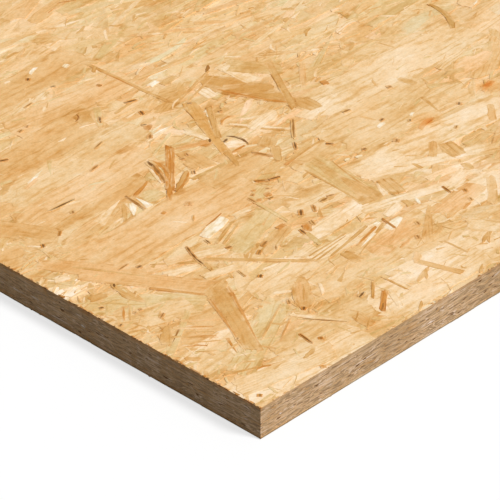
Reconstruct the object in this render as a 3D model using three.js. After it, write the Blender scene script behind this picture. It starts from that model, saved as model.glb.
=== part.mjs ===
// An oriented strand board panel: one flat sheet of wood strands, pressed and glued as a
// single piece and sawn square on its four edges. Millimetres, +Z up. The sheet lies flat,
// its length runs along X, and the origin is at the middle of its underside.

import * as THREE from 'three';

// Driving dimensions
const panelLength = 2500;
const panelWidth = 1250;
const panelThickness = 22;
const arrisBreak = 0.4;

// Finish of the bare, unsanded board
const strandColour = 0xf0cd9b;
const strandRoughness = 0.72;

// The sawn outline, drawn smaller than the sheet by the arris all round. Its four corners
// are cut across by the same amount, so that the upright arrises are eased like the rest.
function sawnOutline(length, width, arris) {
  const halfLength = length / 2 - arris;
  const halfWidth = width / 2 - arris;
  const outline = new THREE.Shape();
  outline.moveTo(-halfLength + arris, -halfWidth);
  outline.lineTo(halfLength - arris, -halfWidth);
  outline.lineTo(halfLength, -halfWidth + arris);
  outline.lineTo(halfLength, halfWidth - arris);
  outline.lineTo(halfLength - arris, halfWidth);
  outline.lineTo(-halfLength + arris, halfWidth);
  outline.lineTo(-halfLength, halfWidth - arris);
  outline.lineTo(-halfLength, -halfWidth + arris);
  outline.closePath();
  return outline;
}

// The outline is pushed up through the thickness. The bevel grows it back to the full
// length and width, and leaves one small flat along every arris, top and bottom.
function pressedSheet(length, width, thickness, arris) {
  const sheet = new THREE.ExtrudeGeometry(sawnOutline(length, width, arris), {
    depth: thickness - 2 * arris,
    bevelEnabled: true,
    bevelThickness: arris,
    bevelSize: arris,
    bevelSegments: 1,
  });
  sheet.translate(0, 0, arris);
  return sheet;
}

function strandBoardFinish() {
  return new THREE.MeshStandardMaterial({
    color: strandColour,
    roughness: strandRoughness,
    metalness: 0,
  });
}

const panel = new THREE.Mesh(
  pressedSheet(panelLength, panelWidth, panelThickness, arrisBreak),
  strandBoardFinish(),
);
panel.name = 'osb_panel';

const strandBoardPanel = new THREE.Group();
strandBoardPanel.add(panel);

export default strandBoardPanel;
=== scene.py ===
# %% [markdown]
# # A panel of oriented strand board
# The board is made of long thin wood strands, which are glued, laid in a thick mat and
# pressed flat while hot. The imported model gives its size, as one plain slab. These cells
# give it what the eye knows it by: strands that overlap on its faces, and sawn edges where
# the same strands are cut through. First the slab is loaded, and its box is kept.

# %% Load the frame
import math
from collections import namedtuple

import bmesh
import bpy
import numpy as np
from mathutils import Matrix, Vector


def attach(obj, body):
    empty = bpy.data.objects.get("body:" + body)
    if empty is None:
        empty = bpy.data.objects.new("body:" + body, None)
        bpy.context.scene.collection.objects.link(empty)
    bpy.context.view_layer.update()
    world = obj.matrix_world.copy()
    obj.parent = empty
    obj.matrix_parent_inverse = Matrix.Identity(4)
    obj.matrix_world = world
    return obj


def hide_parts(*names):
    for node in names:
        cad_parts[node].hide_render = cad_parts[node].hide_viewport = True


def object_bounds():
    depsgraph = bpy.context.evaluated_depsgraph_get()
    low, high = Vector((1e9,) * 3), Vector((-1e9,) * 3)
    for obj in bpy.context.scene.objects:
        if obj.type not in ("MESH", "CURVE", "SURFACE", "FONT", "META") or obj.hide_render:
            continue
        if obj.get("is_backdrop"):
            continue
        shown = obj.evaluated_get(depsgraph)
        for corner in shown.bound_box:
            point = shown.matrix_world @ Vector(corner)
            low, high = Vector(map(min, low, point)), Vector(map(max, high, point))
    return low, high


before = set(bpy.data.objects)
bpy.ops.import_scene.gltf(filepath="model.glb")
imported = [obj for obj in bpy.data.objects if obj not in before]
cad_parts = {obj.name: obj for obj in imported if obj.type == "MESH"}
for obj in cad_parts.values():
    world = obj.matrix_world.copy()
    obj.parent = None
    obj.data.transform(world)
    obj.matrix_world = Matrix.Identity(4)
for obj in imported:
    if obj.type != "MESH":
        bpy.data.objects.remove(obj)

cad_low, cad_high = (Vector(corner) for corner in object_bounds())
panel_size = cad_high - cad_low
middle = (cad_low + cad_high) / 2
print("slab in the frame, in metres:", [round(side, 4) for side in panel_size])

# %% [markdown]
# ## Units and woods
# Blender works in metres, and a board maker works in millimetres, so sizes are written as
# a number times MM. Colours are written as they look on a screen, from 0 to 255, and are
# turned into the linear light that shaders reckon with. The strands of one board come from
# one kind of tree, so all their colours are one honey wood, stained by more or less tone,
# and leaning to straw yellow or, where straw is negative, to orange.

# %% Units and woods
MM = 0.001
near_corner = Vector((cad_low.x, cad_low.y, cad_high.z))


def light(red, green, blue):
    """A screen colour as linear light, by the curve that all screens share."""
    shares = [channel / 255 for channel in (red, green, blue)]
    return tuple(((s + 0.055) / 1.055) ** 2.4 if s > 0.04 else s / 12.92 for s in shares)


WOOD = light(235, 195, 140)
STAIN = (0.85, 0.72, 0.51)
STRAW = (0.92, 1.0, 0.98)
BRIGHTEST = 0.97


def wood(tone, shade=1.0, straw=0.0):
    """The board's wood: tone 0 is honey, 1 is tan and -1 is cream."""
    return tuple(min(BRIGHTEST, channel * stain ** tone * lean ** straw * shade)
                 for channel, stain, lean in zip(WOOD, STAIN, STRAW))


WOODS = {
    "cream": wood(-1.3), "ivory": wood(-0.95), "pale": wood(-0.65), "wheat": wood(-0.38),
    "honey": wood(-0.1), "straw": wood(0.05, straw=0.8), "khaki": wood(0.5, straw=0.5),
    "orange": wood(0.02, straw=-0.7), "peach": wood(0.12, straw=-0.4),
    "toast": wood(0.45, straw=-0.2), "apricot": wood(0.54, straw=-0.55),
    "buff": wood(0.7, straw=-0.1), "ginger": wood(0.9, straw=-1.0), "tan": wood(0.95, straw=0.1),
    "gold": wood(1.3, 1.1, 0.1), "bronze": wood(1.55, 1.03, 0.1), "russet": wood(1.6, straw=-0.6),
    "rust": wood(2.0, 0.92, -1.0), "amber": wood(2.5, 1.14, -0.2),
    # brown and dark serve for bark, and also for the painted shade of cracks and gaps.
    "brown": wood(2.6, 0.72), "dark": wood(2.8, 0.40),
}
print("woods:", {name: [round(channel, 2) for channel in colour] for name, colour in WOODS.items()})

# %% [markdown]
# ## Camera
# The camera looks down on one corner of the panel from a little over two metres, through
# a long lens, so the two edges run almost parallel. It is set by the way it faces and by
# the point on the top face that it looks at.

# %% Camera
look_turn = math.radians(-46.1)
look_down = math.radians(33.2)
look_distance = 2.311
look_at = near_corner + Vector((112.2, 116.2, 0)) * MM
lens_length = 280
nearest_seen = 0.05
farthest_seen = 200

forward = Vector((-math.sin(look_turn), math.cos(look_turn), -math.tan(look_down))).normalized()
camera = bpy.data.objects.new("camera", bpy.data.cameras.new("camera"))
camera.data.lens = lens_length
camera.data.clip_start = nearest_seen
camera.data.clip_end = farthest_seen
camera.location = look_at - forward * look_distance
camera.rotation_euler = forward.to_track_quat("-Z", "Y").to_euler()
bpy.context.scene.collection.objects.link(camera)
bpy.context.scene.camera = camera
print("camera at", [round(value, 3) for value in camera.location])

# %% [markdown]
# ## Shader maths
# A finish is a sum of small patterns. So that such a sum can be written as one, a small
# class wraps a shader socket and lets Python's own operators add the Math nodes. Any other
# node comes from its one method, node, which sets the node's settings first and then its
# values and links. The short methods after it are the few nodes that wood needs often.

# %% Shader maths
class Signal:
    """A socket of a shader tree, which can be added, multiplied and so on."""

    def __init__(self, tree, socket=None):
        self.tree = tree
        self.socket = socket

    def node(self, kind, settings=None, values=None, output=0):
        made = self.tree.nodes.new(kind)
        for name, value in (settings or {}).items():
            setattr(made, name, value)
        for name, value in (values or {}).items():
            if isinstance(value, Signal):
                self.tree.links.new(value.socket, made.inputs[name])
            else:
                made.inputs[name].default_value = value
        return Signal(self.tree, made.outputs[output])

    def maths(self, operation, first, second=0.0):
        return self.node("ShaderNodeMath", {"operation": operation}, {0: first, 1: second})

    def __add__(self, other):
        return self.maths("ADD", self, other)

    def __sub__(self, other):
        return self.maths("SUBTRACT", self, other)

    def __rsub__(self, other):
        return self.maths("SUBTRACT", other, self)

    def __mul__(self, other):
        return self.maths("MULTIPLY", self, other)

    def __pow__(self, other):
        return self.maths("POWER", self, other)

    def __rpow__(self, other):
        return self.maths("POWER", other, self)

    def __abs__(self):
        return self.maths("ABSOLUTE", self)

    __radd__ = __add__
    __rmul__ = __mul__

    def step(self, low, high):
        """0 below low and 1 above high, with a soft climb between them."""
        settings = {"interpolation_type": "SMOOTHSTEP"}
        return self.node("ShaderNodeMapRange", settings, {0: self, 1: low, 2: high})

    def part(self, axis):
        """X, Y or Z of a place."""
        return self.node("ShaderNodeSeparateXYZ", {}, {0: self}, output=axis)

    def channel(self, name):
        """Red, Green or Blue of a colour."""
        return self.node("ShaderNodeSeparateColor", {}, {0: self}, output=name)

    def stretched(self, along, across, up=1):
        """A place stretched, so that a pattern gets this many lumps to the metre each way."""
        values = {0: self, 1: (along, across, up)}
        return self.node("ShaderNodeVectorMath", {"operation": "MULTIPLY"}, values)

    def noise(self, detail=2.0, roughness=0.5):
        """Cloudy noise from 0 to 1 at this place, about one lump to each unit."""
        values = {"Vector": self, "Scale": 1.0, "Detail": detail, "Roughness": roughness}
        return self.node("ShaderNodeTexNoise", {}, values)

    def colour(self, red, green, blue):
        """A colour put together from three values."""
        return self.node("ShaderNodeCombineColor", {}, {0: red, 1: green, 2: blue})

    def toward(self, colour, share, blend="MIX"):
        """This colour mixed with another one, by a share from 0 to 1."""
        settings = {"data_type": "RGBA", "blend_type": blend}
        return self.node("ShaderNodeMix", settings, {0: share, 6: self, 7: colour}, output=2)

    def tinted(self, colour):
        """This colour multiplied by another one."""
        return self.toward(colour, 1.0, "MULTIPLY")


def new_finish(name):
    """An empty material, and a Signal to build its tree from."""
    material = bpy.data.materials.new(name)
    material.use_nodes = True
    material.node_tree.nodes.clear()
    return material, Signal(material.node_tree)


def close_finish(sheet, shader):
    """Links the last shader to the material's output."""
    output = sheet.tree.nodes.new("ShaderNodeOutputMaterial")
    sheet.tree.links.new(shader.socket, output.inputs["Surface"])


# %% [markdown]
# ## Floor and light
# A plain studio: one soft sun from the front right lights the face and the long edge, and a
# dim white sky fills the rest, so that the short edge at the left stays in shade. The eye
# and mirrors see the floor and the sky as white. The light that they throw on the board is
# dimmer, as over a grey floor, because a white one would light the shaded edge too much.

# %% Floor and light
floor_size = 120
floor_bounce = 0.30
floor_glow = 0.7
sky_strength = 0.26
sun_strength = 3.3
sun_spread = math.radians(16)
sun_height = math.radians(46)
sun_turn = math.radians(20)


def seen_directly(sheet):
    """1 for rays from the camera, a mirror or a pane, and 0 for light that lights things."""
    rays = [sheet.node("ShaderNodeLightPath", output=name) for name in
            ("Is Camera Ray", "Is Glossy Ray", "Is Transmission Ray")]
    return sheet.maths("MAXIMUM", sheet.maths("MAXIMUM", rays[0], rays[1]), rays[2])


floor_mesh = bpy.data.meshes.new("studio_floor")
floor_shape = bmesh.new()
bmesh.ops.create_grid(floor_shape, x_segments=1, y_segments=1, size=floor_size / 2)
floor_shape.to_mesh(floor_mesh)
floor_shape.free()
floor = bpy.data.objects.new("studio_floor", floor_mesh)
bpy.context.scene.collection.objects.link(floor)
floor_finish, sheet = new_finish("studio_white")
white = sheet.node("ShaderNodeBsdfDiffuse", {}, {"Color": (1, 1, 1, 1)})
glow = sheet.node("ShaderNodeEmission", {}, {"Color": (1, 1, 1, 1), "Strength": 1.0})
paper = sheet.node("ShaderNodeMixShader", {}, {0: floor_glow, 1: white, 2: glow})
grey = sheet.node("ShaderNodeBsdfDiffuse", {}, {"Color": (floor_bounce, floor_bounce, floor_bounce, 1)})
close_finish(sheet, sheet.node("ShaderNodeMixShader", {}, {0: seen_directly(sheet), 1: grey, 2: paper}))
floor_mesh.materials.append(floor_finish)
floor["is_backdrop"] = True

world = bpy.data.worlds.new("studio_sky")
world.use_nodes = True
world.node_tree.nodes.clear()
sheet = Signal(world.node_tree)
strength = sheet.maths("MAXIMUM", seen_directly(sheet), sky_strength)
sky = sheet.node("ShaderNodeBackground", {}, {"Color": (1, 1, 1, 1), "Strength": strength})
sky_output = world.node_tree.nodes.new("ShaderNodeOutputWorld")
world.node_tree.links.new(sky.socket, sky_output.inputs["Surface"])
bpy.context.scene.world = world

sun = bpy.data.objects.new("sun", bpy.data.lights.new("sun", "SUN"))
sun.data.energy = sun_strength
sun.data.angle = sun_spread
to_sun = Vector((math.sin(sun_turn), -math.cos(sun_turn), math.tan(sun_height)))
sun.rotation_euler = to_sun.to_track_quat("Z", "Y").to_euler()
bpy.context.scene.collection.objects.link(sun)
bpy.context.scene.view_settings.view_transform = "Standard"
print("sun from", [round(value, 2) for value in to_sun.normalized()])

# %% [markdown]
# ## The patterns of the wood
# Each strand is a shaving of one small log, so it has its own colour, its own growth lines
# and fine fibres that run along it. Its colour and figure are kept on the strand itself, as
# attributes of its points. The map called Grain gives each point's place along and across
# its strand, so lines and fibres follow the strand however it was laid. The map called
# Outline runs from -0.5 to 0.5 over the strand, so the finish knows how far the rim is: hot
# pressing makes some rims melt into their neighbours, and the others get a darker, browner
# line of painted shade, as under a raised rim.
# Knots and the brown skin of the press follow the board, so they go by its own places.

# %% Patterns
knots = [(296, 139), (355, 141), (150, 700), (610, 420),
         (880, 150), (1260, 960), (1700, 380), (2150, 820)]
line_wander = 4.0
line_sharpness = 5.0
ragged_by = 16 * MM
rim_width = 0.16
end_fray = 0.16
end_share = 0.35
side_fray = 0.4
melt_share = 0.55


def growth_lines(sheet, place, depth, rate):
    """An even count of lines across the strand, pushed far out of true by slow noise."""
    wander = place.stretched(14, 70).noise(3.0, 0.6) * line_wander
    turns = (place.part("Y") * rate * (1 / MM) + wander) * (2 * math.pi)
    wave = sheet.maths("SINE", turns) * 0.5 + 0.5
    fade = place.stretched(38, 120).noise(2.0).step(0.36, 0.62)
    return (wave ** line_sharpness) * depth * fade


def knot_stains(sheet, spot):
    """The orange stain round each knot, with a ragged halo and a darker core."""
    ragged = spot.stretched(110, 160).noise(3.0, 0.6) * ragged_by
    stains = 0
    for x, y in knots:
        centre = near_corner + Vector((x, y, 0)) * MM
        reach = sheet.node("ShaderNodeVectorMath", {"operation": "DISTANCE"}, {0: spot, 1: centre}, "Value")
        halo = 1 - (reach + ragged).step(7 * MM, 21 * MM)
        core = 1 - (reach + ragged).step(8 * MM, 12 * MM)
        stains = stains + halo + core * 0.9
    return stains


def melt_and_rim_shade_paint(sheet, outline, spot, length, width, fine, broad):
    """How far a strand's rim melts into its neighbours, and where it is darkened instead, as painted shade
    under a raised rim.
    """
    from_end = (0.5 - abs(outline.part("X"))) * length
    from_side = (0.5 - abs(outline.part("Y"))) * width
    rim = sheet.maths("MINIMUM", from_end, from_side)
    melted = spot.stretched(70, 95).noise(2.0).step(0.38, 0.56)
    feathered = (from_end + (broad - 0.5) * length * end_fray) * end_share
    frayed = sheet.maths("MINIMUM", feathered, from_side + (fine - 0.5) * width * side_fray)
    melt = (1 - frayed.step(0, width * rim_width + 0.3 * MM)) * melted * melt_share
    # Where a rim does not melt, it is darkened: a painted shade line, as under a raised rim.
    rim_shade_paint = (1 - rim.step(0.1 * MM, 1.1 * MM)) * (1 - melted)
    return melt, rim_shade_paint


def pressed_skin(spot):
    """Where the hot press browned the wood: near a face, and most where the grain ends."""
    from_face = panel_size.z / 2 - abs(spot.part("Z") - middle.z)
    from_end_cut = panel_size.x / 2 - abs(spot.part("X") - middle.x)
    near_face = 1 - from_face.step(1.4 * MM, 4.2 * MM)
    return near_face, near_face * (1 - from_end_cut.step(1 * MM, 3 * MM))


print("knots at, in mm from the near corner:", knots)

# %% [markdown]
# ## The finish of the wood
# The patterns are added up as tone, which darkens the strand's own colour the way that a
# stain does, and as flush, which leans it to orange or to straw. The fibres also give the
# surface a fine relief. Sawn wood is rougher and browner than the pressed faces.

# %% Wood finish
mottle_tone = 2.1
drift_tone = 3.7
flush_range = 4.2
knot_flush = 2.2
FLUSH = (0.93, 0.84)
wood_relief = 0.15 * MM
bump_strength = 0.6
face_gloss = 0.15
sawn_gloss = 0.25


def bumped(sheet, height, relief):
    """The normals of a surface with this relief."""
    values = {"Strength": bump_strength, "Distance": relief, "Height": height}
    return sheet.node("ShaderNodeBump", {}, values)


def strand_wood(name, stain, cast, contrast, fibres, roughness, browned=0.0):
    """The wood of strands. Tone works by stain, cast tints it all, and browned gives it a skin."""
    material, sheet = new_finish(name)
    place = sheet.node("ShaderNodeUVMap", {"uv_map": "Grain"})
    outline = sheet.node("ShaderNodeUVMap", {"uv_map": "Outline"})
    spot = sheet.node("ShaderNodeTexCoord", output="Object")
    own_colour = sheet.node("ShaderNodeAttribute", {"attribute_name": "StrandColour"})
    length = sheet.node("ShaderNodeAttribute", {"attribute_name": "StrandColour"}, output="Alpha")
    figure = sheet.node("ShaderNodeAttribute", {"attribute_name": "StrandFigure"})
    width = sheet.node("ShaderNodeAttribute", {"attribute_name": "StrandFigure"}, output="Alpha")
    line_depth, line_rate, fibre_depth = (figure.channel(part) for part in ("Red", "Green", "Blue"))
    lines = growth_lines(sheet, place, line_depth, line_rate)

    # Fibres: noise drawn out along the strand, in three widths, and a few dark pores.
    fine = place.stretched(fibres * 0.2, fibres).noise(2.0, 0.6)
    broad = place.stretched(fibres * 0.08, fibres * 0.34).noise(3.0, 0.6)
    bands = place.stretched(fibres * 0.03, fibres * 0.12).noise(2.0, 0.5)
    soft = (bands.step(0.38, 0.62) - 0.5) * 0.3
    streaks = (fine - 0.5) * 0.35 + (broad.step(0.38, 0.68) - 0.4) * 0.3 + soft
    pores = place.stretched(fibres * 0.2, fibres * 0.8).noise(2.0).step(0.68, 0.76)

    # Specks are fuzz and dust of about a millimetre. Mottle is where glue and pressing
    # stained the wood. Drift and flush are slow clouds that run on from strand to strand.
    specks = spot.stretched(800, 800).noise(2.0, 0.6) - 0.5
    mottle = (spot.stretched(190, 260).noise(3.0, 0.6) - 0.5) * mottle_tone
    drift = (spot.stretched(17, 40).noise(4.0, 0.65) - 0.5) * drift_tone
    flush = (spot.stretched(24, 42).noise(5.0, 0.70) - 0.5) * flush_range

    knot = knot_stains(sheet, spot)
    melt, rim_shade_paint = melt_and_rim_shade_paint(sheet, outline, spot, length, width, fine, broad)
    # Rims that do not melt are darkened and browned: painted shade, as under a raised rim.
    rim_shade_painted = rim_shade_paint * line_depth
    tone = lines * 0.9 + (streaks * contrast + pores) * fibre_depth + drift + mottle + knot * 0.7 + rim_shade_painted
    flush = flush + knot * knot_flush

    # Sawn edges show the skin. Pale wood is even, and its streaks are softer than brown ones.
    if browned:
        near_face, skin = pressed_skin(spot)
        tone = tone + near_face * 0.25 + specks * 1.5
        flush = flush * 0.4 + skin * browned
    else:
        tone = sheet.maths("MAXIMUM", tone, tone * 0.55) - 0.06

    tint = sheet.colour(stain[0] ** tone * cast[0], stain[1] ** tone * FLUSH[0] ** flush * cast[1],
                        stain[2] ** tone * FLUSH[1] ** flush * cast[2])
    shade = 1 + specks * 0.35 + (fine - 0.5) * 0.12 - pores * 0.10 - rim_shade_painted * 0.04
    melted_colour = own_colour.toward((*WOODS["honey"], 1), melt)
    colour = melted_colour.tinted(tint).tinted(sheet.colour(shade, shade, shade))
    height = fine * 0.5 + broad * 0.6 - lines * 0.35 - pores * 0.6 + specks * 0.5
    shader = sheet.node("ShaderNodeBsdfPrincipled", {}, {
        "Base Color": colour, "Roughness": roughness + streaks * 0.08,
        "Normal": bumped(sheet, height, wood_relief),
        "Specular IOR Level": sawn_gloss if browned else face_gloss})
    close_finish(sheet, shader)
    return material


def sawn_wood(name, stain, cast, browned):
    """The same wood where the saw cut it: rough, with fine fibres and the brown skin."""
    return strand_wood(name, stain, cast, contrast=1.9, fibres=1100, roughness=0.80, browned=browned)


face_wood = strand_wood("face_strand_wood", STAIN, (1, 1, 1), contrast=0.9, fibres=900, roughness=0.62)
edge_wood = sawn_wood("sawn_strand_wood", (0.80, 0.73, 0.60), (0.725, 0.735, 0.875), browned=2.0)
# The cut ends of the face strands, along the top and the bottom of each sawn edge, are darker than the rest
# of the edge: painted shade lines along the arrises, with more of the brown skin at the top and less at the
# bottom.
arris_skin_and_shade_wood = sawn_wood("sawn_arris_skin_and_shade_wood", (0.80, 0.75, 0.66), (0.625, 0.605, 0.65), browned=2.7)
low_arris_skin_and_shade_wood = sawn_wood("sawn_low_arris_skin_and_shade_wood", (0.80, 0.75, 0.66), (0.465, 0.46, 0.49), browned=1.2)
print("finishes:", face_wood.name, edge_wood.name, arris_skin_and_shade_wood.name, low_arris_skin_and_shade_wood.name)

# %% [markdown]
# ## The inside of the board
# Between the strands the eye looks into shallow hollows, where deeper strands lie. A slab, a
# little smaller than the board on every side, stands behind all of them. It is made from a
# cube whose arrises are beveled. Its faces are streaky like the deeper strands, and its
# flanks, which show between the sawn ends, are a darker brown. Both are darker than the
# strands in front: painted shade in the hollows, besides the real shade of their depth.

# %% Inside
face_depth = 0.95 * MM
edge_depth = 0.25 * MM
inside_arris = 0.2 * MM
deep_relief = 0.3 * MM


def inside_finish(name, dark_colour, pale_colour, stretch):
    """Streaks of two colours, drawn out as far as stretch says."""
    material, sheet = new_finish(name)
    streaks = sheet.node("ShaderNodeTexCoord", output="Object").stretched(*stretch).noise(4.0, 0.65)
    dark = sheet.node("ShaderNodeRGB")
    dark.socket.default_value = (*dark_colour, 1)
    colour = dark.toward((*pale_colour, 1), streaks.step(0.36, 0.64))
    shader = sheet.node("ShaderNodeBsdfPrincipled", {}, {
        "Base Color": colour, "Roughness": 0.75 + streaks * 0.1,
        "Normal": bumped(sheet, streaks, deep_relief)})
    close_finish(sheet, shader)
    return material


def new_piece(name, mesh, *finishes):
    """A finished piece: it rides on the panel's one body, and the plain slab is hidden."""
    piece = bpy.data.objects.new(name, mesh)
    bpy.context.scene.collection.objects.link(piece)
    for finish in finishes:
        mesh.materials.append(finish)
    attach(piece, "root")
    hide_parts("osb_panel")
    return piece


inside = bmesh.new()
bmesh.ops.create_cube(inside, size=1)
inside_size = panel_size - Vector((edge_depth, edge_depth, face_depth)) * 2
bmesh.ops.scale(inside, vec=inside_size, verts=inside.verts)
bmesh.ops.bevel(inside, geom=inside.edges[:], offset=inside_arris, offset_type="OFFSET",
                affect="EDGES", segments=1, profile=0.5, material=-1)
bmesh.ops.translate(inside, vec=middle, verts=inside.verts)
for face in inside.faces:
    face.material_index = 0 if abs(face.normal.z) > 0.9 else 1
inside_mesh = bpy.data.meshes.new("board_inside")
inside.to_mesh(inside_mesh)
inside.free()
# Both finishes are darker than the strands in front: painted shade of the hollows, besides the real shade
# of their depth.
slab_face_wood_and_shade = inside_finish("slab_face_wood_and_painted_shade", wood(1.1, 0.9), wood(-0.1), (22, 420, 420))
slab_flank_wood_and_shade = inside_finish("slab_flank_wood_and_painted_shade", light(140, 109, 75), light(192, 158, 116), (120, 120, 900))
new_piece("board_inside", inside_mesh, slab_face_wood_and_shade, slab_flank_wood_and_shade)
print("inside slab, in mm:", [round(side / MM, 1) for side in inside_size])

# %% [markdown]
# ## Strand shapes
# A strand is a thin flake of wood, cut by knives along its length and broken at its ends.
# Every one here starts as a disc with few sides. Its rim is pushed out to a square, the ends
# are made ragged or tapered and the long sides wavy, and the flake is pushed down to its
# thickness. Each shape is one unit long, wide and thick, and is stretched when it is laid.

# %% Strand shapes
rim_place = 0.49
Cut = namedtuple("Cut", "points outline triangles")


def cut_strand(rng, sides, rag, wobble, tip=1.0, tail=1.0, slant=0.0, bow=0.0, lens=False):
    """Points and triangles of one strand of unit size, with its upper face at height 0."""
    strand = bmesh.new()
    bmesh.ops.create_circle(strand, cap_ends=True, radius=0.5, segments=sides)
    if not lens:
        half_step = Matrix.Rotation(math.pi / sides, 3, "Z")
        bmesh.ops.rotate(strand, matrix=half_step, verts=strand.verts)
    outline = []
    for vert in strand.verts:
        square = vert.co * 0.5 / max(abs(vert.co.x), abs(vert.co.y))
        outline.append(square.xy)
        if not lens:
            vert.co = square
        end = abs(vert.co.x) > rim_place
        side = abs(vert.co.y) > rim_place
        share = vert.co.x + 0.5
        vert.co.y *= tail + (tip - tail) * share
        if end:
            vert.co.x *= 1 - rag * rng.random()
            vert.co.x += slant * vert.co.y
        if side or lens:
            vert.co.y *= 1 - wobble * rng.random()
        vert.co.y += bow * (1 - 4 * vert.co.x ** 2)
    below = bmesh.ops.extrude_face_region(strand, geom=strand.faces[:])
    lower = [part for part in below["geom"] if isinstance(part, bmesh.types.BMVert)]
    bmesh.ops.translate(strand, vec=(0, 0, -1), verts=lower)
    bmesh.ops.recalc_face_normals(strand, faces=strand.faces)
    bmesh.ops.triangulate(strand, faces=strand.faces)
    points = np.array([vert.co for vert in strand.verts])
    triangles = np.array([[vert.index for vert in face.verts] for face in strand.faces])
    strand.free()
    return Cut(points, np.array(outline * 2), triangles)


# Each line gives the sides, the rag of the ends, the wobble of the long sides, and then what
# differs from one shape of its kind to the next.
shape_rng = np.random.default_rng(seed=11)
board_slants = (-0.08, -0.03, 0, 0.03, 0.08, 0.15)
tapers = ((0.45, 0.05), (0.6, -0.05), (0.5, 0.1), (0.65, 0.0))
wedges = ((0.05, 0.0), (0.12, 0.1), (0.08, -0.1))
cuts = {
    "board": [cut_strand(shape_rng, 10, 0.08, 0.16, slant=slant) for slant in board_slants],
    "plank": [cut_strand(shape_rng, 28, 0.06, 0.14, slant=slant) for slant in (-0.05, 0.02, 0.06)],
    "split": [cut_strand(shape_rng, 14, 0.34, 0.30) for _ in range(6)],
    "shard": [cut_strand(shape_rng, 7, 0.45, 0.5) for _ in range(9)],
    "taper": [cut_strand(shape_rng, 16, 0.08, 0.14, tip=tip, bow=bow) for tip, bow in tapers],
    "wedge": [cut_strand(shape_rng, 12, 0.10, 0.12, tip=tip, bow=bow) for tip, bow in wedges],
    "curved": [cut_strand(shape_rng, 16, 0.10, 0.12, tip=0.6, bow=bow) for bow in (0.5, -0.5, 0.9, -0.9)],
    "leaf": [cut_strand(shape_rng, 20, 0.0, 0.45, lens=True, bow=bow) for bow in (0, 0.1, -0.1)],
    "bent": [cut_strand(shape_rng, 20, 0.0, 0.3, lens=True, bow=bow) for bow in (0.8, 1.0, 1.2)],
    "dash": [cut_strand(shape_rng, 4, 0.0, 0.5, lens=True, bow=bow) for bow in (0, 0.3, -0.3)],
    "sliver": [cut_strand(shape_rng, 6, 0.0, 0.4, lens=True, bow=bow) for bow in (0, 0.3, -0.3, 0.8, -0.8)],
}
most_shapes = max(len(made) for made in cuts.values())
print("strand shapes:", {kind: len(made) for kind, made in cuts.items()})

# %% [markdown]
# ## Laying the strands
# On the line, strands fall on a belt that is wider than the board. The same is done here.
# Thousands of copies of the strand shapes are joined into one mesh straight from arrays,
# which is quicker than joining as many objects. A strand's depth orders what covers what, and
# none reaches over the slab. The map called OFBake gives each strand a field of its own.

# %% Laying
strand_thickness = 1.0 * MM
map_columns = 40
map_margin = 0.06
grain_spread = 9
Strand = namedtuple("Strand", "cut pick x y length width turn depth pitch roll colour lines rate fibre")
Side = namedtuple("Side", "origin along across out")

top_side = Side(Vector((0, 0, cad_high.z)), Vector((1, 0, 0)), Vector((0, 1, 0)), Vector((0, 0, 1)))
under_side = Side(Vector((0, 0, cad_low.z)), Vector((1, 0, 0)), Vector((0, -1, 0)), Vector((0, 0, -1)))


def strand_points(strand, side, points):
    """The points of one strand, set in its place on a side of the board."""
    laid = points * (strand.length, strand.width, strand_thickness)
    reach = (abs(strand.pitch) * strand.length + abs(strand.roll) * strand.width) / 2
    height = laid[:, 2] + laid[:, 0] * strand.pitch + laid[:, 1] * strand.roll - reach - strand.depth
    cosine, sine = math.cos(strand.turn), math.sin(strand.turn)
    along = laid[:, 0] * cosine - laid[:, 1] * sine + strand.x
    across = laid[:, 0] * sine + laid[:, 1] * cosine + strand.y
    place = np.outer(along, side.along) + np.outer(across, side.across) + np.outer(height, side.out)
    return place + np.array(side.origin)


def lay(name, side, strands, rung, rng, *finishes):
    """One joined and sawn piece of many strands."""
    rows = math.ceil(len(strands) / map_columns)
    points, triangles, grain, outlines, cells, colours, figures = [], [], [], [], [], [], []
    count = 0
    for number, strand in enumerate(strands):
        shape = cuts[strand.cut][strand.pick % len(cuts[strand.cut])]
        points.append(strand_points(strand, side, shape.points))
        triangles.append(shape.triangles + count)
        count += len(shape.points)
        flat = shape.points[:, :2]
        grain.append(flat * (strand.length, strand.width) + rng.uniform(0, grain_spread, 2))
        cell = np.array((number % map_columns, number // map_columns))
        inside_cell = (shape.outline + 0.5) * (1 - 2 * map_margin) + map_margin
        outlines.append(shape.outline)
        cells.append((cell + inside_cell) / (map_columns, rows))
        colours.append(np.tile((*strand.colour, strand.length), (len(flat), 1)))
        figures.append(np.tile((strand.lines, strand.rate, strand.fibre, strand.width), (len(flat), 1)))
    points, triangles = np.concatenate(points), np.concatenate(triangles)
    mesh = bpy.data.meshes.new(name)
    mesh.vertices.add(len(points))
    mesh.vertices.foreach_set("co", points.ravel())
    mesh.loops.add(triangles.size)
    mesh.loops.foreach_set("vertex_index", triangles.ravel())
    mesh.polygons.add(len(triangles))
    mesh.polygons.foreach_set("loop_start", np.arange(0, triangles.size, 3))
    mesh.update(calc_edges=True)
    for map_name, places in (("Grain", grain), ("Outline", outlines), ("OFBake", cells)):
        layer = mesh.uv_layers.new(name=map_name)
        layer.uv.foreach_set("vector", np.concatenate(places)[triangles.ravel()].ravel())
    for attribute_name, values in (("StrandColour", colours), ("StrandFigure", figures)):
        attribute = mesh.attributes.new(attribute_name, "FLOAT_COLOR", "POINT")
        attribute.data.foreach_set("color", np.concatenate(values).ravel())
    saw(mesh, rung, rng)
    print(name, "strands:", len(strands), "triangles:", len(mesh.polygons))
    return new_piece(name, mesh, *finishes)


# %% [markdown]
# ## Sawing
# The press squeezes the mat to one thickness, and saws trim it. So the mesh is cut by the
# planes of the slab's sides, and each cut strand is closed again. A boolean with a box could
# trim it too, but a plane leaves each rim by itself, so that each cut can have its own depth.

# %% Sawing
saw_roughness = 0.12 * MM
saw_rungs = 8
saw_turns = 3
shallowest_cut = 0.1
rung_play = 0.3
cut_tolerance = 1e-8


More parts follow.
